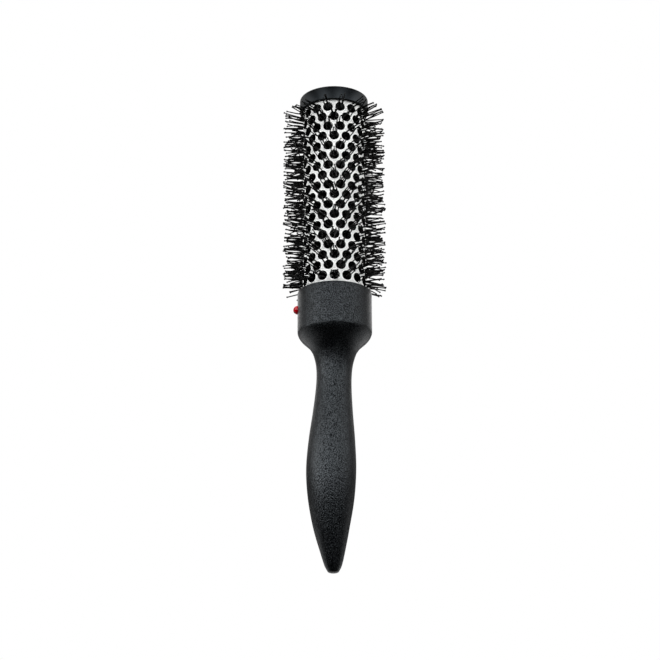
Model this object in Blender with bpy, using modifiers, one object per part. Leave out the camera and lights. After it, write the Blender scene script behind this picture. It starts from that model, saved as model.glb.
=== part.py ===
"""Round barrel hair brush: vented barrel, twisted-wire bristle core, end cap and tapered handle.

The brush stands on the flat end of its cap. The barrel's axis is +Z, the end face lies at
z = 0 and the handle points up. The release button faces +X.
"""
import math

import bmesh
import bpy
from mathutils import Matrix, Vector

MM = 0.001
GAP = 0.30 * MM                        # clearance between neighbouring pieces

# Barrel: a thin coated tube with staggered round vents
BARREL_RADIUS = 16.5 * MM
BARREL_WALL = 0.8 * MM
BARREL_START_Z = 2.3 * MM
BARREL_END_Z = 128.0 * MM
VENT_ROWS = 18
VENTS_PER_ROW = 16
VENT_RADIUS = 2.6 * MM
FIRST_VENT_Z = 11.1 * MM
VENT_STEP = 2 * math.pi / VENTS_PER_ROW
ROW_PITCH = BARREL_RADIUS * VENT_STEP * math.sqrt(3) / 2

# Bristles: one star of tapered tufts behind each row of vents
BRISTLE_TIP_RADIUS = 26.9 * MM
TUFT_THICKNESS = 1.1 * MM
TUFT_TIP_WIDTH = 0.9 * MM
HUB_RADIUS = 3.3 * MM

# Twisted wire core
STRAND_RADIUS = 1.0 * MM
TWIST_RADIUS = STRAND_RADIUS + GAP / 2
TWIST_PITCH = 24.0 * MM
TWIST_POINTS_PER_TURN = 8
CORE_START_Z = 4.4 * MM
CORE_END_Z = 117.3 * MM
CORE_BORE_RADIUS = TWIST_RADIUS + STRAND_RADIUS + GAP

# End cap: a shallow cup over the free end of the barrel
CAP_RADIUS = 18.2 * MM
CAP_HEIGHT = 7.3 * MM
CAP_PLATE = 2.0 * MM
EDGE_RADIUS = 0.3 * MM
CAP_BOSS_RADIUS = CORE_BORE_RADIUS + 2.0 * MM
CAP_BOSS_HEIGHT = 6.0 * MM
CAP_BORE_FLOOR = 1.6 * MM

# Barrel plug: closes the barrel at the handle end and holds the wire
PLUG_START_Z = 112.0 * MM
PLUG_DISC_Z = 114.6 * MM
PLUG_TOP_Z = 118.6 * MM
PLUG_BOSS_RADIUS = 4.6 * MM
PLUG_BORE_TOP_Z = PLUG_TOP_Z - 0.8 * MM

# Handle: collar with a socket for the barrel, a cone, a neck and a grip
COLLAR_RADIUS = 19.15 * MM
COLLAR_START_Z = 110.9 * MM
SPIGOT_START_Z = 115.0 * MM
SOCKET_FLOOR_Z = BARREL_END_Z + 0.5 * MM
HANDLE_TIP_Z = 257.3 * MM
# Radius along the grip from the collar's lower edge to the tip, (z, radius) in millimetres
GRIP_STATIONS = (
    (132.0, 19.15), (133.4, 18.87), (135.1, 18.03), (137.0, 16.47), (140.2, 13.15), (144.0, 10.95),
    (149.0, 9.57), (155.0, 8.97), (163.0, 9.12), (175.0, 10.13), (190.0, 11.72), (205.0, 12.53),
    (220.0, 11.55), (235.0, 8.95), (247.0, 6.08), (253.5, 4.3), (256.3, 2.9),
)
STEPS_BETWEEN_STATIONS = 2
STEPS_ROUND_TIP = 4
# The grip swells towards the button side, then comes part of the way back at the tip
BELLY_SHIFT = 2.15 * MM
BELLY_START_Z = 132.0 * MM
BELLY_LENGTH = 82.0 * MM
TAIL_SHIFT = -0.95 * MM
TAIL_START_Z = 230.0 * MM
TAIL_LENGTH = 28.0 * MM

# Release button and its spring, in a radial pocket of the handle's spigot
BUTTON_Z = 119.8 * MM
BUTTON_TRAVEL = 1.9 * MM
DOME_RADIUS = 2.25 * MM
DOME_BASE_X = COLLAR_RADIUS
DOME_SKIRT_X = DOME_BASE_X - 0.5 * MM
BUTTON_NECK_RADIUS = 0.95 * MM
BUTTON_NECK_X = 17.1 * MM
SHOULDER_RADIUS = 1.8 * MM
FLANGE_RADIUS = 2.3 * MM
FLANGE_FACE_X = BARREL_RADIUS - BARREL_WALL - 2 * GAP
FLANGE_BACK_X = FLANGE_FACE_X - 1.1 * MM
SPRING_GUIDE_RADIUS = 0.8 * MM
SPRING_GUIDE_X = FLANGE_BACK_X - 2.2 * MM
POCKET_RADIUS = 2.6 * MM
POCKET_FLOOR_X = 9.0 * MM
SPRING_COIL_RADIUS = 1.6 * MM
SPRING_WIRE_RADIUS = 0.22 * MM
SPRING_TURNS = 4
SPRING_POINTS_PER_TURN = 10
SPRING_START_X = POCKET_FLOOR_X + GAP + SPRING_WIRE_RADIUS
SPRING_END_X = FLANGE_BACK_X - BUTTON_TRAVEL - GAP - SPRING_WIRE_RADIUS
KEYHOLE_RADIUS = SHOULDER_RADIUS + GAP
KEYHOLE_SLOT_RADIUS = BUTTON_NECK_RADIUS + GAP

ROUND_SEGMENTS = 48
GRIP_SEGMENTS = 32
MERGE = 0.00001


def clear_scene():
    for item in list(bpy.data.objects):
        bpy.data.objects.remove(item, do_unlink=True)


def collection(name):
    group = bpy.data.collections.new(name)
    bpy.context.scene.collection.children.link(group)
    return group


def material(name, colour, roughness, metallic=0.0):
    made = bpy.data.materials.new(name)
    made.use_nodes = True
    shader = made.node_tree.nodes["Principled BSDF"]
    shader.inputs["Base Color"].default_value = (*colour, 1.0)
    shader.inputs["Roughness"].default_value = roughness
    shader.inputs["Metallic"].default_value = metallic
    return made


def add_object(name, data, group, look=None):
    made = bpy.data.objects.new(name, data)
    group.objects.link(made)
    if look is not None:
        data.materials.append(look)
    return made


def evaluated_mesh(source, name):
    """A plain mesh of an object as its curve settings and modifiers make it, with caps welded."""
    bpy.context.view_layer.update()
    graph = bpy.context.evaluated_depsgraph_get()
    mesh = bpy.data.meshes.new_from_object(source.evaluated_get(graph))
    mesh.name = name
    work = bmesh.new()
    work.from_mesh(mesh)
    work.transform(source.matrix_world)
    bmesh.ops.remove_doubles(work, verts=work.verts, dist=MERGE)
    work.to_mesh(mesh)
    work.free()
    bpy.data.objects.remove(source, do_unlink=True)
    return mesh


def shade(item, angle=35.0):
    item.data.shade_smooth()
    item.data.set_sharp_from_angle(angle=math.radians(angle))


def turned(name, profile, segments, group, look=None):
    """Solid of revolution about Z. The profile is (radius, z), and its outer side runs downward."""
    work = bmesh.new()
    points = [work.verts.new((radius, 0.0, z)) for radius, z in profile]
    for start, end in zip(points, points[1:]):
        work.edges.new((start, end))
    mesh = bpy.data.meshes.new(name)
    work.to_mesh(mesh)
    work.free()
    made = add_object(name, mesh, group)
    screw = made.modifiers.new("Turn", "SCREW")
    screw.steps = segments
    screw.render_steps = segments
    screw.use_merge_vertices = True
    screw.merge_threshold = MERGE
    solid = add_object(name, evaluated_mesh(made, name), group, look)
    solid.name = name
    shade(solid)
    return solid


def arc(centre, radius, start, end, steps):
    """Points (radius, z) of a circular arc, with angles in degrees."""
    points = []
    for i in range(steps + 1):
        angle = math.radians(start + (end - start) * i / steps)
        points.append((centre[0] + radius * math.cos(angle), centre[1] + radius * math.sin(angle)))
    return points


def cut(target, cutter):
    """Takes a closed cutter out of a solid, and hides the cutter."""
    step = target.modifiers.new("Cut " + cutter.name, "BOOLEAN")
    step.operation = "DIFFERENCE"
    step.solver = "EXACT"
    step.object = cutter
    cutter.hide_render = True
    cutter.display_type = "WIRE"


def rod_along_x(name, profile, z, segments, group, look=None):
    """A turned solid laid along X at height z. The profile is (radius, x), outermost point first."""
    made = turned(name, profile, segments, group, look)
    made.data.transform(Matrix.Translation((0.0, 0.0, z)) @ Matrix.Rotation(math.pi / 2, 4, "Y"))
    return made


def smooth_step(value):
    value = min(max(value, 0.0), 1.0)
    return value * value * (3 - 2 * value)


def catmull_rom(stations, steps):
    """A smooth outline through the stations, with the given number of steps between each two."""
    outline = []
    last = len(stations) - 1
    for i in range(last):
        before = Vector(stations[max(i - 1, 0)])
        start = Vector(stations[i])
        end = Vector(stations[i + 1])
        after = Vector(stations[min(i + 2, last)])
        for k in range(steps):
            t = k / steps
            point = 0.5 * (2 * start + (end - before) * t
                           + (2 * before - 5 * start + 4 * end - after) * t ** 2
                           + (3 * start - before - 3 * end + after) * t ** 3)
            outline.append(tuple(point))
    outline.append(stations[last])
    return outline


def grip_shift(z):
    """Sideways offset of the grip's centre line at height z."""
    belly = BELLY_SHIFT * smooth_step((z - BELLY_START_Z) / BELLY_LENGTH)
    tail = TAIL_SHIFT * smooth_step((z - TAIL_START_Z) / TAIL_LENGTH)
    return belly + tail


def build_handle(group, cutters, look):
    inner = BARREL_RADIUS - BARREL_WALL - GAP
    outer = BARREL_RADIUS + GAP
    grip = catmull_rom([(radius * MM, z * MM) for z, radius in GRIP_STATIONS], STEPS_BETWEEN_STATIONS)
    tip_radius, tip_start_z = grip[-1]
    outline = []
    for k in range(STEPS_ROUND_TIP):
        angle = math.pi / 2 * k / STEPS_ROUND_TIP
        outline.append((tip_radius * math.sin(angle),
                        tip_start_z + (HANDLE_TIP_Z - tip_start_z) * math.cos(angle)))
    outline += reversed(grip)
    rim = (COLLAR_RADIUS - EDGE_RADIUS, COLLAR_START_Z + EDGE_RADIUS)
    outline += arc(rim, EDGE_RADIUS, 0, -90, 3)
    outline += [(outer, COLLAR_START_Z), (outer, SOCKET_FLOOR_Z), (inner, SOCKET_FLOOR_Z),
                (inner, SPIGOT_START_Z)]
    recess = PLUG_BOSS_RADIUS + GAP
    outline += [(recess, SPIGOT_START_Z), (recess, PLUG_TOP_Z + GAP), (0.0, PLUG_TOP_Z + GAP)]
    handle = turned("handle", outline, GRIP_SEGMENTS, group, look)
    for vertex in handle.data.vertices:
        vertex.co.x += grip_shift(vertex.co.z)

    pocket = rod_along_x("button_pocket", [(0.0, inner + 2 * GAP), (POCKET_RADIUS, inner + 2 * GAP),
                                           (POCKET_RADIUS, POCKET_FLOOR_X), (0.0, POCKET_FLOOR_X)],
                         BUTTON_Z, 20, cutters)
    cut(handle, pocket)
    hole = DOME_RADIUS + GAP
    window = rod_along_x("button_window", [(0.0, COLLAR_RADIUS + GAP), (hole, COLLAR_RADIUS + GAP),
                                           (hole, outer - 2 * GAP), (0.0, outer - 2 * GAP)],
                         BUTTON_Z, 20, cutters)
    cut(handle, window)
    return handle


def vent_corner(column, row, corner):
    """Place of one of the six corners of a vent on the unrolled barrel, as (turn angle, z)."""
    # a hexagon of the round vent's area, with a flat side towards each of its six neighbours
    reach = VENT_RADIUS * math.sqrt(2 * math.pi / (3 * math.sqrt(3)))
    angle = math.radians(30 + 60 * corner)
    stagger = 0.5 * ((VENT_ROWS - 1 - row) % 2)
    turn = (column + stagger) * VENT_STEP + reach * math.cos(angle) / BARREL_RADIUS
    return turn, FIRST_VENT_Z + row * ROW_PITCH + reach * math.sin(angle)


def build_barrel(group, cutters, look):
    """The vented tube: a sheet of staggered six-sided vents rolled round Z, thickened inwards."""
    work = bmesh.new()

    def roll(turn, z):
        angle = turn - math.pi / 2
        return work.verts.new((BARREL_RADIUS * math.cos(angle), BARREL_RADIUS * math.sin(angle), z))

    corners = {}
    for row in range(VENT_ROWS):
        for column in range(VENTS_PER_ROW):
            for corner in range(6):
                corners[row, column, corner] = roll(*vent_corner(column, row, corner))

    def vent(row, column, corner):
        return corners[row, column % VENTS_PER_ROW, corner]

    # webs: between each vent and its neighbours to the right, above right and above left
    for row in range(VENT_ROWS):
        for column in range(VENTS_PER_ROW):
            work.faces.new((vent(row, column, 5), vent(row, column + 1, 3),
                            vent(row, column + 1, 2), vent(row, column, 0)))
            if row == VENT_ROWS - 1:
                continue
            staggered = (VENT_ROWS - 1 - row) % 2
            right = column + staggered
            left = right - 1
            work.faces.new((vent(row, column, 0), vent(row + 1, right, 4),
                            vent(row + 1, right, 3), vent(row, column, 1)))
            work.faces.new((vent(row, column, 1), vent(row + 1, left, 5),
                            vent(row + 1, left, 4), vent(row, column, 2)))
            work.faces.new((vent(row, column, 0), vent(row, column + 1, 2),
                            vent(row + 1, right, 4)))
            work.faces.new((vent(row, column, 1), vent(row + 1, right, 3),
                            vent(row + 1, left, 5)))

    # plain bands from the first and last rows of vents to the tube's two ends
    margin = 1.35 * VENT_RADIUS
    for row, towards in ((0, -1), (VENT_ROWS - 1, 1)):
        stagger = 0.5 * ((VENT_ROWS - 1 - row) % 2)
        tip, right_side, left_side = (4, 5, 3) if towards < 0 else (1, 0, 2)
        band_z = FIRST_VENT_Z + row * ROW_PITCH + towards * margin
        end_z = BARREL_START_Z if towards < 0 else BARREL_END_Z
        rings = []
        for z in (band_z, end_z):
            rings.append([roll((k / 2 + stagger) * VENT_STEP, z) for k in range(2 * VENTS_PER_ROW)])
        near, far = rings
        for column in range(VENTS_PER_ROW):
            below, beside = near[2 * column], near[2 * column + 1]
            following = near[(2 * column + 2) % len(near)]
            faces = [
                (below, beside, vent(row, column, right_side), vent(row, column, tip)),
                (beside, vent(row, column + 1, left_side), vent(row, column, right_side)),
                (beside, following, vent(row, column + 1, tip), vent(row, column + 1, left_side)),
            ]
            for face in faces:
                work.faces.new(face if towards < 0 else face[::-1])
        for k in range(len(near)):
            after = (k + 1) % len(near)
            face = (far[k], far[after], near[after], near[k])
            work.faces.new(face if towards < 0 else face[::-1])

    mesh = bpy.data.meshes.new("barrel")
    work.to_mesh(mesh)
    work.free()
    barrel = add_object("barrel", mesh, group, look)
    wall = barrel.modifiers.new("Wall", "SOLIDIFY")
    wall.thickness = BARREL_WALL
    wall.offset = -1.0
    shade(barrel)

    through_wall = [(0.0, BARREL_RADIUS + GAP), (KEYHOLE_RADIUS, BARREL_RADIUS + GAP),
                    (KEYHOLE_RADIUS, BARREL_RADIUS - BARREL_WALL - 2 * GAP),
                    (0.0, BARREL_RADIUS - BARREL_WALL - 2 * GAP)]
    cut(barrel, rod_along_x("keyhole", through_wall, BUTTON_Z, 16, cutters))
    bpy.ops.mesh.primitive_cube_add(size=1.0)
    slot = bpy.context.object
    slot.name = "keyhole_slot"
    for home in slot.users_collection:
        home.objects.unlink(slot)
    cutters.objects.link(slot)
    length = BARREL_END_Z - BUTTON_Z + GAP
    size = Vector((4 * BARREL_WALL, 2 * KEYHOLE_SLOT_RADIUS, length))
    slot.data.transform(Matrix.Diagonal((*size, 1.0)))
    slot.location = (BARREL_RADIUS - BARREL_WALL / 2, 0.0, BUTTON_Z + length / 2)
    cut(barrel, slot)
    return barrel


def build_end_cap(group, look):
    bore = BARREL_RADIUS + GAP
    outline = [(0.0, CAP_BORE_FLOOR), (CORE_BORE_RADIUS, CAP_BORE_FLOOR),
               (CORE_BORE_RADIUS, CAP_BOSS_HEIGHT), (CAP_BOSS_RADIUS, CAP_BOSS_HEIGHT),
               (CAP_BOSS_RADIUS, CAP_PLATE), (bore, CAP_PLATE), (bore, CAP_HEIGHT)]
    outline += arc((CAP_RADIUS - EDGE_RADIUS, CAP_HEIGHT - EDGE_RADIUS), EDGE_RADIUS, 90, 0, 2)
    outline += arc((CAP_RADIUS - EDGE_RADIUS, EDGE_RADIUS), EDGE_RADIUS, 0, -90, 3)
    outline.append((0.0, 0.0))
    return turned("end_cap", outline, ROUND_SEGMENTS, group, look)


def build_barrel_plug(group, look):
    disc = BARREL_RADIUS - BARREL_WALL - GAP
    outline = [(0.0, PLUG_TOP_Z), (PLUG_BOSS_RADIUS, PLUG_TOP_Z), (PLUG_BOSS_RADIUS, PLUG_DISC_Z),
               (disc, PLUG_DISC_Z), (disc, PLUG_START_Z), (CORE_BORE_RADIUS, PLUG_START_Z),
               (CORE_BORE_RADIUS, PLUG_BORE_TOP_Z), (0.0, PLUG_BORE_TOP_Z)]
    return turned("barrel_plug", outline, ROUND_SEGMENTS, group, look)


def wire_object(name, points, radius, group):
    curve = bpy.data.curves.new(name, "CURVE")
    curve.dimensions = "3D"
    curve.bevel_depth = radius
    curve.bevel_resolution = 2
    curve.use_fill_caps = True
    spline = curve.splines.new("POLY")
    spline.points.add(len(points) - 1)
    for slot, place in zip(spline.points, points):
        slot.co = (*place, 1.0)
    return add_object(name, curve, group)


def build_core_wire(group, look):
    """One wire bent back on itself at the cap and twisted, so both its ends reach the plug."""
    turns = (CORE_END_Z - CORE_START_Z) / TWIST_PITCH
    count = round(turns * TWIST_POINTS_PER_TURN)
    going = []
    for k in range(count + 1):
        angle = 2 * math.pi * turns * k / count
        z = CORE_START_Z + (CORE_END_Z - CORE_START_Z) * k / count
        going.append(Vector((TWIST_RADIUS * math.cos(angle), TWIST_RADIUS * math.sin(angle), z)))
    returning = [Vector((-place.x, -place.y, place.z)) for place in going]
    bend = []
    for k in range(1, 4):
        angle = math.pi * k / 4
        bend.append(Vector((TWIST_RADIUS * math.cos(angle), 0.0,
                            CORE_START_Z - TWIST_RADIUS * math.sin(angle))))
    points = going[::-1] + bend + returning
    mesh = evaluated_mesh(wire_object("core_wire", points, STRAND_RADIUS, group), "core_wire")
    wire = add_object("core_wire", mesh, group, look)
    shade(wire)
    return wire


def star_outline(row):
    """Corners of one bristle star: a valley at the hub and two tip corners for each tuft."""
    stagger = 0.5 * ((VENT_ROWS - 1 - row) % 2)
    half_tip = TUFT_TIP_WIDTH / 2 / BRISTLE_TIP_RADIUS
    corners = []
    for tuft in range(VENTS_PER_ROW):
        centre = (tuft + stagger) * VENT_STEP - math.pi / 2
        for radius, angle in ((HUB_RADIUS, centre - VENT_STEP / 2),
                              (BRISTLE_TIP_RADIUS, centre - half_tip),
                              (BRISTLE_TIP_RADIUS, centre + half_tip)):
            corners.append((radius * math.cos(angle), radius * math.sin(angle)))
    return corners


def build_bristle_row(row, group, look):
    name = f"bristle_row_{row + 1:02d}"
    curve = bpy.data.curves.new(name, "CURVE")
    curve.dimensions = "2D"
    curve.fill_mode = "BOTH"
    curve.extrude = TUFT_THICKNESS / 2
    hub_corners = 8
    bore = CORE_BORE_RADIUS / math.cos(math.pi / hub_corners)
    ring = []
    for k in range(hub_corners):
        angle = 2 * math.pi * (k + 0.5) / hub_corners
        ring.append((bore * math.cos(angle), bore * math.sin(angle)))
    for outline in (star_outline(row), ring):
        spline = curve.splines.new("POLY")
        spline.points.add(len(outline) - 1)
        spline.use_cyclic_u = True
        for slot, place in zip(spline.points, outline):
            slot.co = (*place, 0.0, 1.0)
    flat = add_object(name, curve, group)
    flat.location.z = FIRST_VENT_Z + row * ROW_PITCH
    star = add_object(name, evaluated_mesh(flat, name), group, look)
    star.name = name
    return star


def build_release_button(group, look):
    """Dome outside the collar, neck in its window, shoulder in the keyhole, flange and guide inside."""
    dome = arc((0.0, DOME_BASE_X), DOME_RADIUS, 90, 0, 5)
    dome[0] = (0.0, DOME_BASE_X + DOME_RADIUS)
    outline = dome + [(DOME_RADIUS, DOME_SKIRT_X), (BUTTON_NECK_RADIUS, DOME_SKIRT_X),
                      (BUTTON_NECK_RADIUS, BUTTON_NECK_X), (SHOULDER_RADIUS, BUTTON_NECK_X),
                      (SHOULDER_RADIUS, FLANGE_FACE_X), (FLANGE_RADIUS, FLANGE_FACE_X),
                      (FLANGE_RADIUS, FLANGE_BACK_X), (SPRING_GUIDE_RADIUS, FLANGE_BACK_X),
                      (SPRING_GUIDE_RADIUS, SPRING_GUIDE_X), (0.0, SPRING_GUIDE_X)]
    return rod_along_x("release_button", outline, BUTTON_Z, 20, group, look)


def build_button_spring(group, look):
    """Coil spring behind the button, at the length it has when the button is pressed."""
    count = SPRING_TURNS * SPRING_POINTS_PER_TURN
    points = []
    for k in range(count + 1):
        angle = 2 * math.pi * k / SPRING_POINTS_PER_TURN
        points.append(Vector((SPRING_START_X + (SPRING_END_X - SPRING_START_X) * k / count,
                              SPRING_COIL_RADIUS * math.cos(angle),
                              BUTTON_Z + SPRING_COIL_RADIUS * math.sin(angle))))
    coil = wire_object("button_spring", points, SPRING_WIRE_RADIUS, group)
    spring = add_object("button_spring", evaluated_mesh(coil, "button_spring"), group, look)
    spring.name = "button_spring"
    shade(spring)
    return spring


def main():
    clear_scene()
    group = collection("round_barrel_brush")
    cutters = collection("cutters")
    black_plastic = material("black_plastic", (0.035, 0.038, 0.042), 0.5)
    white_coating = material("white_coating", (0.82, 0.82, 0.80), 0.35)
    bristle_nylon = material("bristle_nylon", (0.008, 0.008, 0.008), 0.35)
    steel = material("steel", (0.55, 0.55, 0.56), 0.3, 1.0)
    red_plastic = material("red_plastic", (0.55, 0.0, 0.01), 0.12)

    build_handle(group, cutters, black_plastic)
    build_barrel(group, cutters, white_coating)
    build_end_cap(group, black_plastic)
    build_barrel_plug(group, black_plastic)
    build_core_wire(group, steel)
    for row in range(VENT_ROWS):
        build_bristle_row(row, group, bristle_nylon)
    build_release_button(group, red_plastic)
    build_button_spring(group, steel)


main()
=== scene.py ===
import math
import random

import bmesh
import bpy
from mathutils import Matrix, Vector


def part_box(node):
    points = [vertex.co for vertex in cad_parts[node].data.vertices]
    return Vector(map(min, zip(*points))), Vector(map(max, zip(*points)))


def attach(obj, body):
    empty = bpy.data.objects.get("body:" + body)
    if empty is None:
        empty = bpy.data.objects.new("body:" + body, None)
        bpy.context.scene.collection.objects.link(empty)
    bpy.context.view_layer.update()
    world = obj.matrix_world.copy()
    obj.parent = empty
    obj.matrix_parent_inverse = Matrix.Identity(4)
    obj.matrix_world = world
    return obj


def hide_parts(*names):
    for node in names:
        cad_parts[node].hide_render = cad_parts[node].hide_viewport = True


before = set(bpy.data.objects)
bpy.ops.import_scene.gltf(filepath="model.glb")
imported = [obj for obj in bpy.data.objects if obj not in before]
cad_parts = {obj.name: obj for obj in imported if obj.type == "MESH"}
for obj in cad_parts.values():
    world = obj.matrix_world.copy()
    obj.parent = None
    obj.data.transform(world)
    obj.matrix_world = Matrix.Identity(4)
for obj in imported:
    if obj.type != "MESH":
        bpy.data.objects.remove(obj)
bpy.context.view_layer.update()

MM = 0.001

# ---------------------------------------------------------------- sizes from the frame
BARREL_LOW, BARREL_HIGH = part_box("barrel")
HANDLE_LOW, HANDLE_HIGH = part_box("handle")
CAP_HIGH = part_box("end_cap")[1]
BUTTON_LOW, BUTTON_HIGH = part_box("release_button")
ROW_NAMES = sorted(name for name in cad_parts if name.startswith("bristle_row_"))
ROW_HEIGHTS = [(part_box(name)[0].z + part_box(name)[1].z) / 2 for name in ROW_NAMES]
BARREL_RADIUS = BARREL_HIGH.y
COLLAR_RADIUS = HANDLE_HIGH.y
COLLAR_START = HANDLE_LOW.z
HANDLE_TIP = HANDLE_HIGH.z
CAP_RADIUS = CAP_HIGH.y
CAP_HEIGHT = CAP_HIGH.z
TIP_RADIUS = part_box(ROW_NAMES[-1])[1].y
BUTTON_Z = (BUTTON_LOW.z + BUTTON_HIGH.z) / 2

BARREL_WALL = 0.8 * MM
BARREL_PLAY = 0.3 * MM              # round the barrel, in the collar's socket and in the cap
VENTS_PER_ROW = 16
VENT_RADIUS = 2.6 * MM
VENT_STEP = 2 * math.pi / VENTS_PER_ROW
EDGE = 0.3 * MM                     # rounding of outer edges
CHAMFER = 0.2 * MM                  # at the mouth of the socket and of the cap
SHARP_ANGLE = math.radians(40)      # edges that turn by more than this aren't shaded smooth


def row_stagger(row):
    """Half a vent step for every second row, counted from the row next to the collar."""
    return 0.5 * ((len(ROW_NAMES) - 1 - row) % 2)


# ---------------------------------------------------------------- node-tree helpers
def new_material(name):
    made = bpy.data.materials.new(name)
    made.use_nodes = True
    tree = made.node_tree
    return made, tree, tree.nodes["Principled BSDF"]


def add_node(tree, kind, **inputs):
    node = tree.nodes.new(kind)
    for key, value in inputs.items():
        node.inputs[key.replace("_", " ")].default_value = value
    return node


def noise(tree, scale, detail=2.0, roughness=0.5):
    place = tree.nodes.new("ShaderNodeTexCoord")
    made = add_node(tree, "ShaderNodeTexNoise", Scale=scale, Detail=detail, Roughness=roughness)
    tree.links.new(place.outputs["Object"], made.inputs["Vector"])
    return made.outputs["Fac"]


def ramp(tree, source, stops):
    made = tree.nodes.new("ShaderNodeValToRGB")
    band = made.color_ramp
    while len(band.elements) < len(stops):
        band.elements.new(0.5)
    for element, (place, colour) in zip(band.elements, stops):
        element.position = place
        if isinstance(colour, float):
            colour = (colour, colour, colour)
        element.color = (*colour, 1.0)
    tree.links.new(source, made.inputs["Fac"])
    return made.outputs["Color"]


def bump(tree, shader, source, distance, strength):
    made = add_node(tree, "ShaderNodeBump", Distance=distance, Strength=strength)
    tree.links.new(source, made.inputs["Height"])
    tree.links.new(made.outputs["Normal"], shader.inputs["Normal"])


# ---------------------------------------------------------------- materials
def eroded_plastic():
    """Charcoal moulding with the fine leathery grain of a spark-eroded tool."""
    made, tree, shader = new_material("eroded_plastic")
    grain = noise(tree, 2600.0, roughness=0.6)
    colour = ramp(tree, grain, ((0.50, (0.0002, 0.0002, 0.0003)), (0.75, (0.003, 0.0037, 0.0045))))
    tree.links.new(colour, shader.inputs["Base Color"])
    facets = noise(tree, 2250.0, detail=1.0)
    sparkle = ramp(tree, facets, ((0.42, (0.05, 0.06, 0.07)), (0.58, (0.84, 0.93, 1.0))))
    tree.links.new(sparkle, shader.inputs["Specular Tint"])
    gloss = ramp(tree, noise(tree, 1200.0, detail=1.0), ((0.35, 0.29), (0.65, 0.38)))
    tree.links.new(gloss, shader.inputs["Roughness"])
    shader.inputs["Specular IOR Level"].default_value = 0.42
    bump(tree, shader, noise(tree, 1300.0, detail=3.0, roughness=0.6), distance=0.17 * MM, strength=1.0)
    return made


def smooth_plastic():
    """Charcoal moulding, satin, with faint flow marks."""
    made, tree, shader = new_material("smooth_plastic")
    cloud = noise(tree, 180.0, detail=3.0)
    colour = ramp(tree, cloud, ((0.35, (0.002, 0.0025, 0.003)), (0.65, (0.005, 0.006, 0.007))))
    tree.links.new(colour, shader.inputs["Base Color"])
    gloss = ramp(tree, cloud, ((0.3, 0.26), (0.7, 0.38)))
    tree.links.new(gloss, shader.inputs["Roughness"])
    shader.inputs["Specular IOR Level"].default_value = 0.2
    shader.inputs["Specular Tint"].default_value = (0.78, 0.90, 1.0, 1.0)
    bump(tree, shader, noise(tree, 1800.0), distance=0.04 * MM, strength=0.6)
    return made


def ceramic_coating():
    """White ceramic-type coating, greyer in the webs, with a painted highlight: a lighter ring round each
    vent.
    """
    made, tree, shader = new_material("ceramic_coating")
    speck = noise(tree, 900.0, detail=3.0)
    web = ramp(tree, speck, ((0.35, (0.59, 0.60, 0.59)), (0.65, (0.65, 0.66, 0.65))))
    ring = ramp(tree, speck, ((0.35, (0.76, 0.77, 0.76)), (0.65, (0.83, 0.84, 0.83))))
    # painted highlight: the mask blends the lighter ring colour in round each vent
    place = tree.nodes.new("ShaderNodeAttribute")
    place.attribute_name = "vent_highlight_mask"
    blend = tree.nodes.new("ShaderNodeMix")
    blend.data_type = "RGBA"
    tree.links.new(place.outputs["Fac"], blend.inputs[0])
    tree.links.new(web, blend.inputs[6])
    tree.links.new(ring, blend.inputs[7])
    tree.links.new(blend.outputs[2], shader.inputs["Base Color"])
    gloss = ramp(tree, noise(tree, 300.0), ((0.3, 0.32), (0.7, 0.42)))
    tree.links.new(gloss, shader.inputs["Roughness"])
    bump(tree, shader, speck, distance=0.03 * MM, strength=0.4)
    return made


def dark_lining_and_painted_shade():
    """Near-black, for the inside of the barrel and the walls of its vents, and as painted shade on the cap's
    lip in the gap between barrel and cap.
    """
    made, tree, shader = new_material("dark_lining_and_painted_shade")
    colour = ramp(tree, noise(tree, 500.0), ((0.3, 0.001), (0.7, 0.003)))
    tree.links.new(colour, shader.inputs["Base Color"])
    shader.inputs["Roughness"].default_value = 0.7
    shader.inputs["Specular IOR Level"].default_value = 0.1
    return made


def nylon():
    """Glossy black filament."""
    made, tree, shader = new_material("nylon")
    colour = ramp(tree, noise(tree, 400.0), ((0.3, 0.0003), (0.7, 0.0010)))
    tree.links.new(colour, shader.inputs["Base Color"])
    gloss = ramp(tree, noise(tree, 700.0), ((0.3, 0.20), (0.7, 0.34)))
    tree.links.new(gloss, shader.inputs["Roughness"])
    shader.inputs["Specular IOR Level"].default_value = 0.07
    return made


def red_button():
    """Polished red plastic."""
    made, tree, shader = new_material("red_button")
    colour = ramp(tree, noise(tree, 500.0), ((0.3, (0.30, 0.0, 0.003)), (0.7, (0.36, 0.0, 0.006))))
    tree.links.new(colour, shader.inputs["Base Color"])
    shader.inputs["Roughness"].default_value = 0.14
    shader.inputs["Specular IOR Level"].default_value = 0.3
    return made


def drawn_steel():
    """Bright wire, for the core and the spring."""
    made, tree, shader = new_material("drawn_steel")
    streak = noise(tree, 900.0, detail=3.0)
    colour = ramp(tree, streak, ((0.3, 0.38), (0.7, 0.55)))
    tree.links.new(colour, shader.inputs["Base Color"])
    gloss = ramp(tree, streak, ((0.3, 0.22), (0.7, 0.38)))
    tree.links.new(gloss, shader.inputs["Roughness"])
    shader.inputs["Metallic"].default_value = 1.0
    return made


HANDLE_LOOK = eroded_plastic()
CAP_LOOK = smooth_plastic()
COATING_LOOK = ceramic_coating()
LINING_AND_SHADE_LOOK = dark_lining_and_painted_shade()
BRISTLE_LOOK = nylon()
BUTTON_LOOK = red_button()
STEEL_LOOK = drawn_steel()


# ---------------------------------------------------------------- mesh helpers
def add_piece(name, mesh, body, slot, *nodes, looks):
    """Puts a mesh in the scene as a piece that rides a body and stands for CAD nodes."""
    made = bpy.data.objects.new(name, mesh)
    bpy.context.scene.collection.objects.link(made)
    for look in looks:
        mesh.materials.append(look)
    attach(made, body)
    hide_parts(*nodes)
    return made


def smooth_step(value):
    value = min(max(value, 0.0), 1.0)
    return value * value * (3 - 2 * value)


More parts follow.
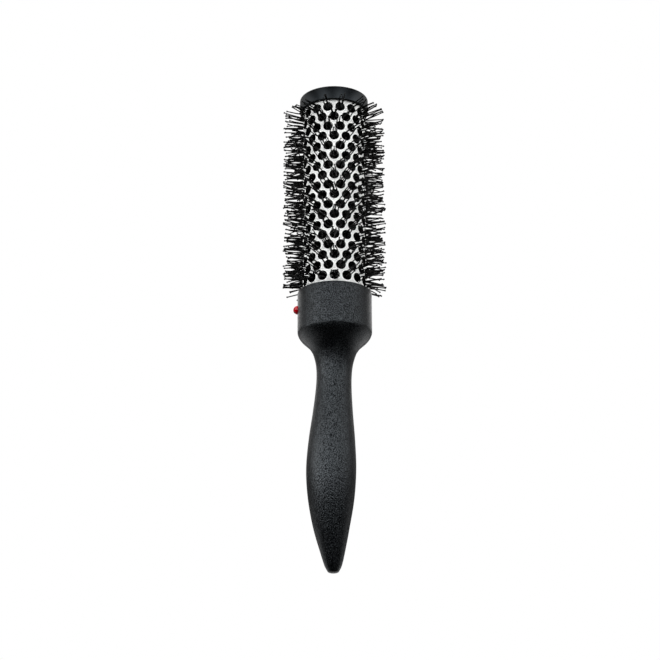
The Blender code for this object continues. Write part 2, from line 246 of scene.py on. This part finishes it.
def catmull_rom(stations, steps):
    """A smooth curve through the stations, in so many steps between each two."""
    outline = []
    last = len(stations) - 1
    for i in range(last):
        before = Vector(stations[max(i - 1, 0)])
        start = Vector(stations[i])
        end = Vector(stations[i + 1])
        after = Vector(stations[min(i + 2, last)])
        for k in range(steps):
            t = k / steps
            outline.append(0.5 * (2 * start + (end - before) * t
                                  + (2 * before - 5 * start + 4 * end - after) * t ** 2
                                  + (3 * start - before - 3 * end + after) * t ** 3))
    outline.append(Vector(stations[last]))
    return outline


def arc(centre, radius, start, end, steps):
    """Points (radius, z) of a circular arc, with angles in degrees."""
    points = []
    for i in range(steps + 1):
        angle = math.radians(start + (end - start) * i / steps)
        points.append(Vector((centre[0] + radius * math.cos(angle),
                              centre[1] + radius * math.sin(angle))))
    return points


def turn(name, outline, angles, shape=None):
    """Closed mesh of an outline (radius, z) turned round Z, from one end on the axis to the other.

    shape(radius, angle, z) gives a point's place where the piece isn't a plain turned one."""
    work = bmesh.new()
    rings = []
    for radius, z in outline:
        if radius == 0.0:
            rings.append([work.verts.new((0.0, 0.0, z))])
            continue
        ring = []
        for angle in angles:
            if shape is None:
                place = (radius * math.cos(angle), radius * math.sin(angle), z)
            else:
                place = shape(radius, angle, z)
            ring.append(work.verts.new(place))
        rings.append(ring)
    count = len(angles)
    for upper, lower in zip(rings, rings[1:]):
        for k in range(count):
            after = (k + 1) % count
            if len(upper) == 1:
                work.faces.new((upper[0], lower[k], lower[after]))
            elif len(lower) == 1:
                work.faces.new((upper[k], lower[0], upper[after]))
            else:
                work.faces.new((upper[k], lower[k], lower[after], upper[after]))
    bmesh.ops.recalc_face_normals(work, faces=work.faces)
    mesh = bpy.data.meshes.new(name)
    work.to_mesh(mesh)
    work.free()
    mesh.shade_smooth()
    mesh.set_sharp_from_angle(angle=SHARP_ANGLE)
    return mesh


def even_angles(count):
    return [2 * math.pi * k / count for k in range(count)]


def lie_along_x(mesh, x):
    """Lays a mesh made round Z along the button's axis, with its origin at x."""
    mesh.transform(Matrix.Translation((x, 0.0, BUTTON_Z)) @ Matrix.Rotation(math.pi / 2, 4, "Y"))


# ---------------------------------------------------------------- handle
GRIP_STATIONS = (       # (height, radius), in mm
    (132.0, 19.15), (132.7, 19.07), (133.4, 18.87), (134.2, 18.55), (135.1, 18.03), (136.0, 17.37),
    (137.0, 16.47), (138.5, 14.85), (140.2, 13.15), (142.0, 11.95), (144.0, 10.95), (149.0, 9.57),
    (155.0, 8.97), (163.0, 9.12), (175.0, 10.13), (190.0, 11.72), (205.0, 12.53), (220.0, 11.55),
    (235.0, 8.95), (247.0, 6.08), (253.5, 4.3), (256.3, 2.9),
)
STEPS_BETWEEN_STATIONS = 6
STEPS_ROUND_TIP = 8
COLLAR_RINGS = (131.9, 131.6, 128.0, 124.0, 120.0, 116.0, 112.5)      # heights, in mm
COLLAR_COLUMNS = 128
SOCKET_RADIUS = BARREL_RADIUS + BARREL_PLAY
SOCKET_END = COLLAR_START + 8 * MM
SEAM_START = 131.5 * MM             # the mould's parting line, from the collar's top to the tip
SEAM_RUN_IN = 2 * MM
SEAM_DEPTH = 0.35 * MM
SEAM_HALF_WIDTH = 0.28 * MM
SEAM_LEAST_RADIUS = 4 * MM          # the seam narrows with the grip below this radius
BORE_RADIUS = 2.4 * MM
BORE_SIDES = 48
BELLY_SHIFT, BELLY_START, BELLY_LENGTH = 2.15 * MM, 132 * MM, 82 * MM
TAIL_SHIFT, TAIL_START, TAIL_LENGTH = -0.95 * MM, 230 * MM, 28 * MM


def grip_shift(z):
    """Sideways offset of the grip's centre line, towards the button's side."""
    belly = BELLY_SHIFT * smooth_step((z - BELLY_START) / BELLY_LENGTH)
    tail = TAIL_SHIFT * smooth_step((z - TAIL_START) / TAIL_LENGTH)
    return belly + tail


def build_handle():
    grip = catmull_rom([(radius * MM, z * MM) for z, radius in GRIP_STATIONS], STEPS_BETWEEN_STATIONS)
    tip_radius, tip_start = grip[-1]
    outline = []
    for k in range(STEPS_ROUND_TIP):
        angle = math.pi / 2 * k / STEPS_ROUND_TIP
        outline.append((tip_radius * math.sin(angle),
                        tip_start + (HANDLE_TIP - tip_start) * math.cos(angle)))
    outline += [(p.x, p.y) for p in reversed(grip)]
    outline += [(COLLAR_RADIUS, z * MM) for z in COLLAR_RINGS]
    outline += arc((COLLAR_RADIUS - EDGE, COLLAR_START + EDGE), EDGE, 0, -90, steps=6)
    outline += [(SOCKET_RADIUS + CHAMFER, COLLAR_START), (SOCKET_RADIUS, COLLAR_START + CHAMFER),
                (SOCKET_RADIUS, SOCKET_END), (0.0, SOCKET_END)]

    # even columns, with four more close beside each of the two that the parting line runs along
    columns = []
    for k in range(COLLAR_COLUMNS):
        angle = 2 * math.pi * k / COLLAR_COLUMNS
        on_seam = k % (COLLAR_COLUMNS // 2) == 0
        columns += [(angle, place) for place in ((-2, -1, 0, 1, 2) if on_seam else (None,))]

    def shape(radius, column, z):
        angle, place = column
        if place is not None:
            if radius <= SOCKET_RADIUS + CHAMFER and z <= SOCKET_END:
                angle += place * SEAM_HALF_WIDTH / SOCKET_RADIUS
            else:
                angle += place * SEAM_HALF_WIDTH / max(radius, SEAM_LEAST_RADIUS)
            if place == 0 and z > SEAM_START:
                radius -= SEAM_DEPTH * smooth_step((z - SEAM_START) / SEAM_RUN_IN)
        return (radius * math.cos(angle) + grip_shift(z), radius * math.sin(angle), z)

    mesh = turn("handle_shell", outline, columns, shape)
    shell = add_piece("handle_shell", mesh, "brush", "handle_plastic", "handle", looks=[HANDLE_LOOK])
    drill_button_bore(shell)


def drill_button_bore(shell):
    """The blind bore in the collar's side that holds the button and its spring."""
    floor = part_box("button_spring")[0].x - 0.2 * MM
    depth = COLLAR_RADIUS + 3 * MM - floor
    work = bmesh.new()
    bmesh.ops.create_cone(work, cap_ends=True, segments=BORE_SIDES,
                          radius1=BORE_RADIUS, radius2=BORE_RADIUS, depth=depth)
    cutter_mesh = bpy.data.meshes.new("bore")
    work.to_mesh(cutter_mesh)
    work.free()
    lie_along_x(cutter_mesh, floor + depth / 2)
    cutter = bpy.data.objects.new("bore", cutter_mesh)
    bpy.context.scene.collection.objects.link(cutter)
    cut = shell.modifiers.new("Bore", "BOOLEAN")
    cut.operation = "DIFFERENCE"
    cut.solver = "EXACT"
    cut.object = cutter
    drilled = bpy.data.meshes.new_from_object(shell.evaluated_get(bpy.context.evaluated_depsgraph_get()))
    shell.modifiers.clear()
    shell.data = drilled
    bpy.data.objects.remove(cutter)
    drilled.set_sharp_from_angle(angle=SHARP_ANGLE)


# ---------------------------------------------------------------- barrel
VENT_SIDES = 24
VENT_RINGS = ((0.45 * MM, 0.0), (0.2 * MM, 0.05 * MM), (0.0, 0.0))      # (width round the vent, height)
MERGE_DISTANCE = 0.02 * MM
VENT_BEVEL = 0.06 * MM
CELL_TURN = math.pi / 3             # a cell has six sides


def build_barrel():
    """The vented tube: six-sided cells with a round vent each, rolled round Z and thickened."""
    work = bmesh.new()
    inradius = BARREL_RADIUS * VENT_STEP / 2
    corners = [2 * math.pi * k / VENT_SIDES for k in range(VENT_SIDES)]
    vent_highlight_mask = work.verts.layers.float.new("vent_highlight_mask")
    vent_edge = set()

    def roll(turn_angle, z, lift=0.0):
        angle = turn_angle - math.pi / 2
        radius = BARREL_RADIUS + lift
        return work.verts.new((radius * math.cos(angle), radius * math.sin(angle), z))

    for row, height in enumerate(ROW_HEIGHTS):
        for column in range(VENTS_PER_ROW):
            centre = (column + row_stagger(row)) * VENT_STEP
            border = []
            for angle in corners:
                # the cell's flat sides face its neighbours at 0, 60, 120 ... degrees
                facing = (angle + CELL_TURN / 2) % CELL_TURN - CELL_TURN / 2
                reach = inradius / math.cos(facing)
                border.append(roll(centre + reach * math.cos(angle) / BARREL_RADIUS,
                                   height + reach * math.sin(angle)))
            rings = [border]
            for width, lift in VENT_RINGS:
                radius = VENT_RADIUS + width
                rings.append([roll(centre + radius * math.cos(angle) / BARREL_RADIUS,
                                   height + radius * math.sin(angle), lift) for angle in corners])
            # the vent rings carry the mask for the coating's painted highlight
            for ring in rings[1:]:
                for vert in ring:
                    vert[vent_highlight_mask] = 1.0
            vent_edge.update(rings[-1])
            for outer, inner in zip(rings, rings[1:]):
                for k in range(VENT_SIDES):
                    after = (k + 1) % VENT_SIDES
                    work.faces.new((outer[k], outer[after], inner[after], inner[k]))
    bmesh.ops.remove_doubles(work, verts=work.verts, dist=MERGE_DISTANCE)

    # plain bands from the outermost cells' zigzag edges to the tube's two ends
    border = [edge for edge in work.edges
              if len(edge.link_faces) == 1 and edge.verts[0] not in vent_edge]
    halfway = (BARREL_LOW.z + BARREL_HIGH.z) / 2
    low_border = [edge for edge in border if edge.verts[0].co.z < halfway]
    high_border = [edge for edge in border if edge.verts[0].co.z > halfway]
    for edges, end_z in ((low_border, BARREL_LOW.z), (high_border, BARREL_HIGH.z)):
        made = bmesh.ops.extrude_edge_only(work, edges=edges)
        for item in made["geom"]:
            if isinstance(item, bmesh.types.BMVert):
                item.co.z = end_z
    bmesh.ops.recalc_face_normals(work, faces=work.faces)
    outward = 0.0
    for face in work.faces:
        middle = face.calc_center_median()
        outward += face.normal.dot(Vector((middle.x, middle.y, 0.0)))
    if outward < 0:
        bmesh.ops.reverse_faces(work, faces=work.faces)
    mesh = bpy.data.meshes.new("barrel_tube")
    work.to_mesh(mesh)
    work.free()
    mesh.shade_smooth()
    barrel = add_piece("barrel_tube", mesh, "brush", "barrel_coating", "barrel",
                       looks=[COATING_LOOK, LINING_AND_SHADE_LOOK])
    wall = barrel.modifiers.new("Wall", "SOLIDIFY")
    wall.thickness = BARREL_WALL
    wall.offset = -1.0
    wall.material_offset = 1
    wall.material_offset_rim = 1
    rounding = barrel.modifiers.new("Round edges", "BEVEL")
    rounding.width = VENT_BEVEL
    rounding.segments = 2
    rounding.limit_method = "ANGLE"
    rounding.angle_limit = math.radians(50)


# ---------------------------------------------------------------- end cap and button
CAP_FLOOR = 2.0 * MM
CAP_COLUMNS = 160

DOME_RADIUS = 2.25 * MM
DOME_BASE = COLLAR_RADIUS           # the places along the button are distances from the brush's axis
DOME_SKIRT = DOME_BASE - 0.5 * MM
NECK_RADIUS = 0.95 * MM
SHOULDER_RADIUS = 1.8 * MM
SHOULDER_TOP = 17.1 * MM
FLANGE_RADIUS = 2.3 * MM
FLANGE_TOP = 15.1 * MM
FLANGE_BACK = 14.0 * MM
SPRING_GUIDE_RADIUS = 0.8 * MM
BUTTON_COLUMNS = 64


def build_end_cap():
    bore = BARREL_RADIUS + BARREL_PLAY
    outline = [(0.0, CAP_FLOOR), (bore, CAP_FLOOR),
               (bore, CAP_HEIGHT - CHAMFER), (bore + CHAMFER, CAP_HEIGHT)]
    outline += arc((CAP_RADIUS - EDGE, CAP_HEIGHT - EDGE), EDGE, 90, 0, steps=5)
    outline += arc((CAP_RADIUS - EDGE, EDGE), EDGE, 0, -90, steps=6)
    outline.append((0.0, 0.0))
    mesh = turn("cap_shell", outline, even_angles(CAP_COLUMNS))
    # painted shade: the lip takes the near-black material, for the shadow it lies in under the barrel and
    # its bristles
    for face in mesh.polygons:
        if face.normal.z > 0.9 and face.center.z > CAP_HEIGHT - 0.1 * MM:
            face.material_index = 1
    add_piece("cap_shell", mesh, "brush", "cap_plastic", "end_cap", looks=[CAP_LOOK, LINING_AND_SHADE_LOOK])


def build_button():
    outline = arc((0.0, DOME_BASE), DOME_RADIUS, 90, 0, steps=16)
    outline[0] = (0.0, DOME_BASE + DOME_RADIUS)
    outline += [(DOME_RADIUS, DOME_SKIRT), (NECK_RADIUS, DOME_SKIRT),
                (NECK_RADIUS, SHOULDER_TOP), (SHOULDER_RADIUS, SHOULDER_TOP),
                (SHOULDER_RADIUS, FLANGE_TOP), (FLANGE_RADIUS, FLANGE_TOP),
                (FLANGE_RADIUS, FLANGE_BACK), (SPRING_GUIDE_RADIUS, FLANGE_BACK),
                (SPRING_GUIDE_RADIUS, BUTTON_LOW.x), (0.0, BUTTON_LOW.x)]
    mesh = turn("button_dome", outline, even_angles(BUTTON_COLUMNS))
    lie_along_x(mesh, 0.0)
    add_piece("button_dome", mesh, "button", "button_plastic", "release_button", looks=[BUTTON_LOOK])


# ---------------------------------------------------------------- bristles
FILAMENT_RADIUS = 0.32 * MM
ROOT_SWELL = 1.1                    # times the radius, as far as the vent
TAPER = 0.28                        # of the radius, from the vent to the tip
CORE_RADIUS = 2.6 * MM
FILAMENT_POINTS = 13
CRIMP_LENGTH = 0.55 * MM            # along the filament, for each radian of its waves
KNOB_LENGTH = 1.1 * MM
KNOB = ((0.75, 1.05), (0.45, 1.55), (0.15, 1.6), (0.0, 0.8))      # (mm from the tip, times the radius)
INNER_STRANDS = 34
TUFT_COUNTS = (3, 4, 4, 5, 6)       # one is drawn for each vent
VENT_MARGIN = 0.1 * MM
END_LEAN = {0: -2.8 * MM, len(ROW_NAMES) - 1: 2.4 * MM}      # the outermost rows fan out past cap and collar
DRIFT_ROUND, DRIFT_ALONG = 0.75 * MM, 0.6 * MM                # of a whole tuft, at its tips
SPREAD_ROUND, SPREAD_ALONG = 0.75, 0.6                        # of its tips, as a share of that at its vent
STRAY_SHARE, STRAY, STEADY = 0.12, 1.3 * MM, 0.35 * MM        # of single filaments, at their tips
LONGEST = TIP_RADIUS + 0.2 * MM
SHORTER = 1.1 * MM


def filament_points(draw, centre_angle, height, at_vent, at_tip, tip):
    """Points (place, radius) of one filament, from the wire core past the edge of its vent to its tip.

    Further out it drifts, bends and is slightly crimped."""
    out = Vector((math.sin(centre_angle), -math.cos(centre_angle), 0.0))
    side = Vector((math.cos(centre_angle), math.sin(centre_angle), 0.0))
    up = Vector((0.0, 0.0, 1.0))
    bend = (draw.gauss(0, 0.35 * MM), draw.gauss(0, 0.35 * MM))
    phase = draw.uniform(0, 2 * math.pi)
    crimp = draw.uniform(0.05, 0.14) * MM
    shaft_step = (tip - KNOB_LENGTH - CORE_RADIUS) / (FILAMENT_POINTS - 1)
    stops = [(CORE_RADIUS + shaft_step * k, 1.0, crimp) for k in range(FILAMENT_POINTS)]
    stops += [(tip - gap * MM, swell, 0.0) for gap, swell in KNOB]
    points = []
    for radius, swell, crimp_here in stops:
        inner = min(radius / BARREL_RADIUS, 1.0)
        outer = max(0.0, (radius - BARREL_RADIUS) / (tip - BARREL_RADIUS))
        bow = outer * (1 - outer) * 4
        wave = crimp_here * math.sin(phase + radius / CRIMP_LENGTH) * outer
        u = at_vent[0] * inner + (at_tip[0] - at_vent[0]) * outer + bend[0] * bow + wave
        v = at_vent[1] * inner + (at_tip[1] - at_vent[1]) * outer ** 1.3 + bend[1] * bow
        points.append((out * radius + side * u + up * (height + v), swell * (ROOT_SWELL - TAPER * outer)))
    return points


def add_spline(curve, points):
    spline = curve.splines.new("POLY")
    spline.points.add(len(points) - 1)
    for slot, (place, swell) in zip(spline.points, points):
        slot.co = (*place, 1.0)
        slot.radius = swell


def inner_strand(draw, strand, height):
    """Points of one strand between the wire core and the barrel's wall, seen through the vents."""
    angle = 2 * math.pi * (strand + draw.random()) / INNER_STRANDS
    angle_end = angle + draw.gauss(0, 0.2)
    low, high = height + draw.gauss(0, 0.9 * MM), height + draw.gauss(0, 1.8 * MM)
    end = BARREL_RADIUS - BARREL_WALL - draw.uniform(0.5, 2.0) * MM
    middle = (CORE_RADIUS + end) / 2
    stops = ((CORE_RADIUS, angle, low), (middle, angle_end, (low + high) / 2), (end, angle_end + 0.1, high))
    return [((radius * math.cos(turned), radius * math.sin(turned), z), 1.0) for radius, turned, z in stops]


def build_bristle_row(row):
    """One row of tufts: a few filaments through every vent, and the strands left inside the barrel."""
    name = ROW_NAMES[row]
    height = ROW_HEIGHTS[row]
    draw = random.Random(4100 + row)
    curve = bpy.data.curves.new(name.replace("row", "tufts"), "CURVE")
    curve.dimensions = "3D"
    curve.bevel_depth = FILAMENT_RADIUS
    curve.bevel_resolution = 1
    curve.use_fill_caps = True
    curve.materials.append(BRISTLE_LOOK)
    reach = VENT_RADIUS - FILAMENT_RADIUS - VENT_MARGIN
    for vent in range(VENTS_PER_ROW):
        centre = (vent + row_stagger(row)) * VENT_STEP
        first = draw.uniform(0, 2 * math.pi)
        drift = (draw.gauss(0, DRIFT_ROUND), draw.gauss(0, DRIFT_ALONG))
        lean = END_LEAN.get(row, 0.0) * draw.random()
        count = draw.choice(TUFT_COUNTS)
        for k in range(count):
            about = first + 2 * math.pi * k / count + draw.gauss(0, 0.3)
            edge = draw.uniform(0.6, 1.0) * reach
            at_vent = (edge * math.cos(about), edge * math.sin(about))
            stray = STRAY if draw.random() < STRAY_SHARE else STEADY
            at_tip = (at_vent[0] * SPREAD_ROUND + drift[0] + draw.gauss(0, stray),
                      at_vent[1] * SPREAD_ALONG + drift[1] + draw.gauss(0, stray) + lean)
            tip = LONGEST - abs(draw.gauss(0, SHORTER))
            add_spline(curve, filament_points(draw, centre, height, at_vent, at_tip, tip))
    for strand in range(INNER_STRANDS):
        add_spline(curve, inner_strand(draw, strand, height))
    tufts = bpy.data.objects.new(name.replace("row", "tufts"), curve)
    bpy.context.scene.collection.objects.link(tufts)
    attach(tufts, "brush")
    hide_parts(name)


# ---------------------------------------------------------------- hidden pieces keep their CAD shape
def dress_hidden_nodes():
    for name, look in (("core_wire", STEEL_LOOK), ("button_spring", STEEL_LOOK), ("barrel_plug", CAP_LOOK)):
        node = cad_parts[name]
        node.data.materials.clear()
        node.data.materials.append(look)


# ---------------------------------------------------------------- floor, light and camera
def math_node(tree, operation, *operands):
    made = tree.nodes.new("ShaderNodeMath")
    made.operation = operation
    for socket, value in zip(made.inputs, operands):
        if isinstance(value, float):
            socket.default_value = value
        else:
            tree.links.new(value, socket)
    return made.outputs["Value"]


def plus(tree, first, second):
    return math_node(tree, "ADD", first, second)


def minus(tree, first, second):
    return math_node(tree, "SUBTRACT", first, second)


def times(tree, first, second):
    return math_node(tree, "MULTIPLY", first, second)


def fade(tree, source, start, end, low=0.0, high=1.0):
    """A number that goes smoothly from low to high while the source goes from start to end."""
    made = tree.nodes.new("ShaderNodeMapRange")
    made.interpolation_type = "SMOOTHSTEP"
    made.inputs["From Min"].default_value = start
    made.inputs["From Max"].default_value = end
    made.inputs["To Min"].default_value = low
    made.inputs["To Max"].default_value = high
    tree.links.new(source, made.inputs["Value"])
    return made.outputs["Result"]


def white_to_camera(tree, strength):
    """The given strength for lighting, and plain white as a background."""
    path = tree.nodes.new("ShaderNodeLightPath")
    chosen = tree.nodes.new("ShaderNodeMix")
    chosen.data_type = "FLOAT"
    tree.links.new(path.outputs["Is Camera Ray"], chosen.inputs[0])
    tree.links.new(strength, chosen.inputs[2])
    chosen.inputs[3].default_value = 1.0
    return chosen.outputs[0]


FLOOR_HALF_SIZE = 6.0               # metres
FLOOR_DROP = 0.2 * MM               # keeps it clear of the cap's end face
FLOOR_POWER = 6.0
FAR_END = 2.5                       # metres from the brush at which far is 1
FRONT_BRIGHTNESS = (                # (far, brightness) in front of the brush
    (0.0, 0.06), (0.008, 0.12), (0.014, 0.42), (0.035, 0.66), (0.08, 0.44), (0.14, 0.20),
    (0.23, 1.15), (0.34, 1.42), (0.46, 0.65), (0.62, 0.10), (0.80, 0.0),
)
STRIPE_RATE = 10.0
STRIPE_PHASE = 0.7 + math.pi / 2


def build_floor():
    """A white table, brighter in some places than in others, which the cap and the handle mirror.

    The cap mirrors the part next to the brush, the collar the part round a far of 0.13 and the grip what
    lies beyond. facing is 1 in front of the brush and -1 behind it, across is 1 on the button's side."""
    work = bmesh.new()
    bmesh.ops.create_grid(work, x_segments=1, y_segments=1, size=FLOOR_HALF_SIZE)
    mesh = bpy.data.meshes.new("floor")
    work.to_mesh(mesh)
    work.free()
    made, tree, shader = new_material("studio_white")
    tree.nodes.remove(shader)
    glow = tree.nodes.new("ShaderNodeEmission")
    place = tree.nodes.new("ShaderNodeTexCoord")
    split = tree.nodes.new("ShaderNodeSeparateXYZ")
    tree.links.new(place.outputs["Object"], split.inputs["Vector"])
    reach = tree.nodes.new("ShaderNodeVectorMath")
    reach.operation = "LENGTH"
    tree.links.new(place.outputs["Object"], reach.inputs[0])
    distance = reach.outputs["Value"]
    far = math_node(tree, "DIVIDE", distance, FAR_END)
    facing = math_node(tree, "DIVIDE", times(tree, split.outputs["Y"], -1.0), distance)
    across = math_node(tree, "DIVIDE", split.outputs["X"], distance)

    # how far the bright front reaches round the brush: wide for the collar, narrower for the grip
    close = fade(tree, far, 0.14, 0.2, 1.0, 0.0)
    wide = fade(tree, facing, -0.45, 0.10)
    onward = minus(tree, facing, fade(tree, far, 0.25, 0.45, 0.0, 0.4))
    narrow = fade(tree, onward, -0.45, 0.35)
    lit = plus(tree, narrow, times(tree, minus(tree, wide, narrow), close))
    unlit = minus(tree, 1.0, lit)

    # on the button's side the grip is brighter and the collar darker; the cap has stripes; cap and collar
    # dim towards their edges, where a thin rim is lit again
    skew = times(tree, across, fade(tree, far, 0.14, 0.22, 0.0, 0.45))
    wave = math_node(tree, "SINE", minus(tree, times(tree, across, STRIPE_RATE), STRIPE_PHASE))
    stripes = times(tree, wave, fade(tree, far, 0.016, 0.05, 0.6, 0.05))
    stripes = times(tree, stripes, fade(tree, facing, 0.3, 0.7))
    dim = times(tree, fade(tree, across, 0.2, 0.8, 0.0, 0.35), fade(tree, far, 0.06, 0.11))
    dim = times(tree, dim, fade(tree, far, 0.14, 0.17, 1.0, 0.0))
    edge = times(tree, fade(tree, facing, -0.25, 0.6, 0.72, 0.0), close)
    sided = plus(tree, plus(tree, skew, 1.0), stripes)
    sided = minus(tree, minus(tree, sided, dim), edge)

    front = times(tree, times(tree, ramp(tree, far, FRONT_BRIGHTNESS), lit), sided)
    back = times(tree, unlit, fade(tree, far, 0.25, 0.4, 0.05, 0.012))
    rim = times(tree, fade(tree, facing, -0.9, -0.5, 0.2, 0.0), close)
    strength = times(tree, plus(tree, plus(tree, front, back), rim), FLOOR_POWER)
    tree.links.new(white_to_camera(tree, strength), glow.inputs["Strength"])
    tree.links.new(glow.outputs["Emission"], tree.nodes["Material Output"].inputs["Surface"])
    mesh.materials.append(made)
    floor = bpy.data.objects.new("floor", mesh)
    floor.location.z = -FLOOR_DROP
    bpy.context.scene.collection.objects.link(floor)


def build_world():
    """Nearly dark overhead and in front, with a white wall behind the brush."""
    world = bpy.data.worlds.new("studio")
    world.use_nodes = True
    bpy.context.scene.world = world
    tree = world.node_tree
    back = tree.nodes["Background"]
    back.inputs["Color"].default_value = (1.0, 1.0, 1.0, 1.0)
    place = tree.nodes.new("ShaderNodeTexCoord")
    split = tree.nodes.new("ShaderNodeSeparateXYZ")
    tree.links.new(place.outputs["Generated"], split.inputs["Vector"])
    behind = fade(tree, split.outputs["Y"], -0.25, 0.4)
    low = fade(tree, split.outputs["Z"], 0.5, 0.95, 1.0, 0.0)
    overhead = fade(tree, split.outputs["Z"], 0.1, 0.7, 0.015, 0.075)
    strength = plus(tree, times(tree, behind, low), overhead)
    tree.links.new(white_to_camera(tree, strength), back.inputs["Strength"])


KEY_PLACE = Vector((-0.5, -0.9, 0.9))
KEY_TARGET = Vector((0.0, 0.0, 0.12))
KEY_SIZE = 0.5
KEY_POWER = 0.3


def build_key_light():
    data = bpy.data.lights.new("key", "AREA")
    data.shape = "RECTANGLE"
    data.size = data.size_y = KEY_SIZE
    data.energy = KEY_POWER
    key = bpy.data.objects.new("key", data)
    key.location = KEY_PLACE
    key.rotation_mode = "QUATERNION"
    key.rotation_quaternion = (KEY_TARGET - KEY_PLACE).to_track_quat("-Z", "Y")
    key.visible_camera = False
    bpy.context.scene.collection.objects.link(key)


CAMERA_ELEVATION = math.radians(20.185)
CAMERA_ROLL = -0.0030
CAMERA_DISTANCE = 0.92677
AIM_HEIGHT = 0.1307
AIM_OFFSET = 0.002465
SENSOR_WIDTH = 36.0
FOCAL_LENGTH = 98.5964


def build_camera():
    """The brush is seen handle down, so the camera is turned over: its up axis points to the floor."""
    level, drop = math.cos(CAMERA_ELEVATION), math.sin(CAMERA_ELEVATION)
    forward = Vector((0.0, level, -drop))
    right = Vector((-1.0, 0.0, 0.0))
    up = Vector((0.0, -drop, -level))
    rolled_right = right * math.cos(CAMERA_ROLL) + up * math.sin(CAMERA_ROLL)
    rolled_up = up * math.cos(CAMERA_ROLL) - right * math.sin(CAMERA_ROLL)
    place = Vector((0.0, 0.0, AIM_HEIGHT)) - rolled_right * AIM_OFFSET - forward * CAMERA_DISTANCE
    data = bpy.data.cameras.new("camera")
    data.sensor_width = SENSOR_WIDTH
    data.lens = FOCAL_LENGTH
    data.clip_start = 0.05
    data.clip_end = 20.0
    camera = bpy.data.objects.new("camera", data)
    turned = Matrix((rolled_right, rolled_up, -forward)).transposed().to_4x4()
    camera.matrix_world = Matrix.Translation(place) @ turned
    bpy.context.scene.collection.objects.link(camera)
    bpy.context.scene.camera = camera


build_handle()
build_barrel()
build_end_cap()
build_button()
for row_index in range(len(ROW_NAMES)):
    build_bristle_row(row_index)
dress_hidden_nodes()
build_floor()
build_world()
build_key_light()
build_camera()
bpy.context.scene.view_settings.view_transform = "Standard"
